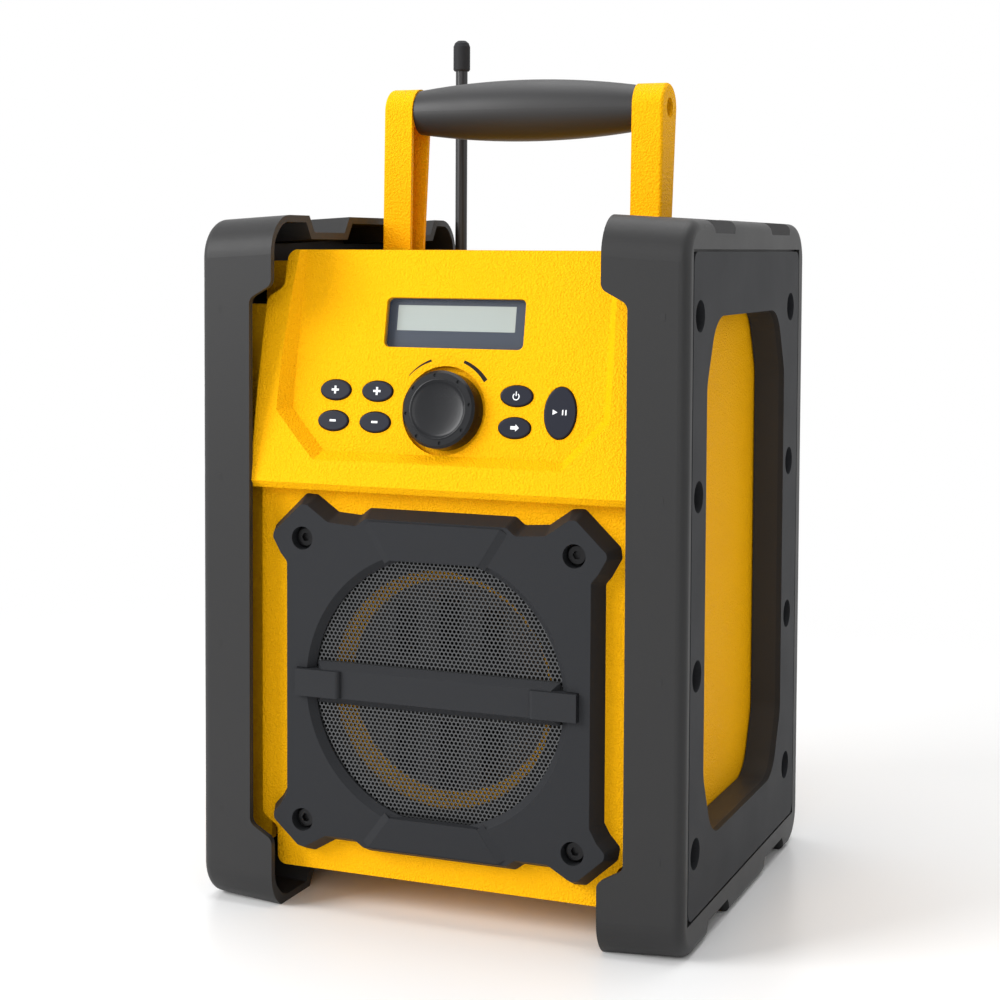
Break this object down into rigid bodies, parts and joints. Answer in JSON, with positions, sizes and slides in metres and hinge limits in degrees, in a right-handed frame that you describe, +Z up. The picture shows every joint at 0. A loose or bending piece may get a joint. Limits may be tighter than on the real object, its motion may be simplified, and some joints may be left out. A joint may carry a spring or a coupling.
{
  "type": "jobsite radio",
  "caption": "Portable jobsite radio: moulded housing with a leaning control panel and a speaker behind a guard, between two protective side frames, with a carrying handle and an antenna.",
  "frame": {"origin": "middle of the radio's footprint, on the floor", "axes": "+X to the right seen from the front, +Y to the back, +Z up"},
  "size_m": [0.22, 0.198, 0.3921],
  "materials": {
    "yellow_housing": "fine grain",
    "black_frame": "fine grain",
    "black_plate": "fine grain",
    "button_black": "satin",
    "knob_black": "satin",
    "rubber": "matt",
    "black_steel": "satin black",
    "black_metal": "satin black",
    "display_glass": "gloss",
    "bright_steel": "plated",
    "antenna_metal": "satin black",
    "electronics": "matt",
    "cell_case": "gloss",
    "dark_plastic": "matt"
  },
  "bodies": {
    "case": {"battery_cells": "cell_case", "battery_contacts": "bright_steel", "battery_door_pin": "bright_steel", "battery_door_seal": "rubber", "battery_tray": "dark_plastic", "button_switches": "electronics", "case_screws": "black_steel", "control_board": "electronics", "crossbar": "black_metal", "front_housing": "yellow_housing", "grip_core": "bright_steel", "grip_lower": "rubber", "grip_upper": "rubber", "handle_arm_left": "yellow_housing", "handle_arm_right": "yellow_housing", "handle_bolts": "black_steel", "handle_crossmember": "bright_steel", "housing_screws": "black_steel", "housing_seal": "rubber", "jack_block": "electronics", "jack_cover_pin": "bright_steel", "lcd_module": "electronics", "lcd_window": "display_glass", "main_board": "electronics", "rear_housing": "yellow_housing", "side_frame_left": "black_frame", "side_frame_right": "black_frame", "side_plate_left": "black_plate", "side_plate_right": "black_plate", "speaker_baffle": "dark_plastic", "speaker_basket": "black_metal", "speaker_cover": "black_plate", "speaker_gasket": "rubber", "speaker_magnet": "bright_steel", "speaker_mesh": "black_metal", "speaker_screws": "black_steel", "speaker_surround": "rubber", "volume_encoder": "electronics"},
    "volume": {"volume_knob": "knob_black"},
    "swivel": {"antenna_swivel": "black_plate", "antenna_pin": "bright_steel"},
    "antenna": {"antenna_rod": "antenna_metal", "antenna_cap": "black_plate"},
    "battery_flap": {"battery_door": "black_plate"},
    "jack_flap": {"jack_cover": "rubber"},
    "cone": {"speaker_cone": "dark_plastic"},
    "tune_up_key": {"tune_up_button": "button_black"},
    "tune_down_key": {"tune_down_button": "button_black"},
    "preset_up_key": {"preset_up_button": "button_black"},
    "preset_down_key": {"preset_down_button": "button_black"},
    "power_key": {"power_button": "button_black"},
    "source_key": {"source_button": "button_black"},
    "play_key": {"play_button": "button_black"}
  },
  "joints": [
    {"name": "volume_turn", "type": "hinge", "parent": "case", "child": "volume", "pos_m": [0, -0.08484, 0.21866], "axis": [0, -0.9823, 0.1874], "continuous": true},
    {"name": "tune_up_press", "type": "slide", "parent": "case", "child": "tune_up_key", "axis": [0, 0.9823, -0.1874], "range_m": [0, 0.001], "stiffness_N_per_m": 200},
    {"name": "tune_down_press", "type": "slide", "parent": "case", "child": "tune_down_key", "axis": [0, 0.9823, -0.1874], "range_m": [0, 0.001], "stiffness_N_per_m": 200},
    {"name": "preset_up_press", "type": "slide", "parent": "case", "child": "preset_up_key", "axis": [0, 0.9823, -0.1874], "range_m": [0, 0.001], "stiffness_N_per_m": 200},
    {"name": "preset_down_press", "type": "slide", "parent": "case", "child": "preset_down_key", "axis": [0, 0.9823, -0.1874], "range_m": [0, 0.001], "stiffness_N_per_m": 200},
    {"name": "power_press", "type": "slide", "parent": "case", "child": "power_key", "axis": [0, 0.9823, -0.1874], "range_m": [0, 0.001], "stiffness_N_per_m": 200},
    {"name": "source_press", "type": "slide", "parent": "case", "child": "source_key", "axis": [0, 0.9823, -0.1874], "range_m": [0, 0.001], "stiffness_N_per_m": 200},
    {"name": "play_press", "type": "slide", "parent": "case", "child": "play_key", "axis": [0, 0.9823, -0.1874], "range_m": [0, 0.001], "stiffness_N_per_m": 200},
    {"name": "antenna_swivel_turn", "type": "hinge", "parent": "case", "child": "swivel", "pos_m": [-0.0656, 0.086, 0.264], "axis": [0, 0, 1], "range_deg": [0, 90]},
    {"name": "antenna_tilt", "type": "hinge", "parent": "swivel", "child": "antenna", "pos_m": [-0.0656, 0.086, 0.278], "axis": [0, 1, 0], "range_deg": [0, 90]},
    {"name": "battery_door_turn", "type": "hinge", "parent": "case", "child": "battery_flap", "pos_m": [0, 0.0895, 0.0465], "axis": [-1, 0, 0], "range_deg": [0, 90]},
    {"name": "jack_cover_turn", "type": "hinge", "parent": "case", "child": "jack_flap", "pos_m": [0.05, 0.0895, 0.1905], "axis": [-1, 0, 0], "range_deg": [0, 90]},
    {"name": "cone_move", "type": "slide", "parent": "case", "child": "cone", "axis": [0, 1, 0], "range_m": [-0.0015, 0.0015], "stiffness_N_per_m": 1500}
  ]
}
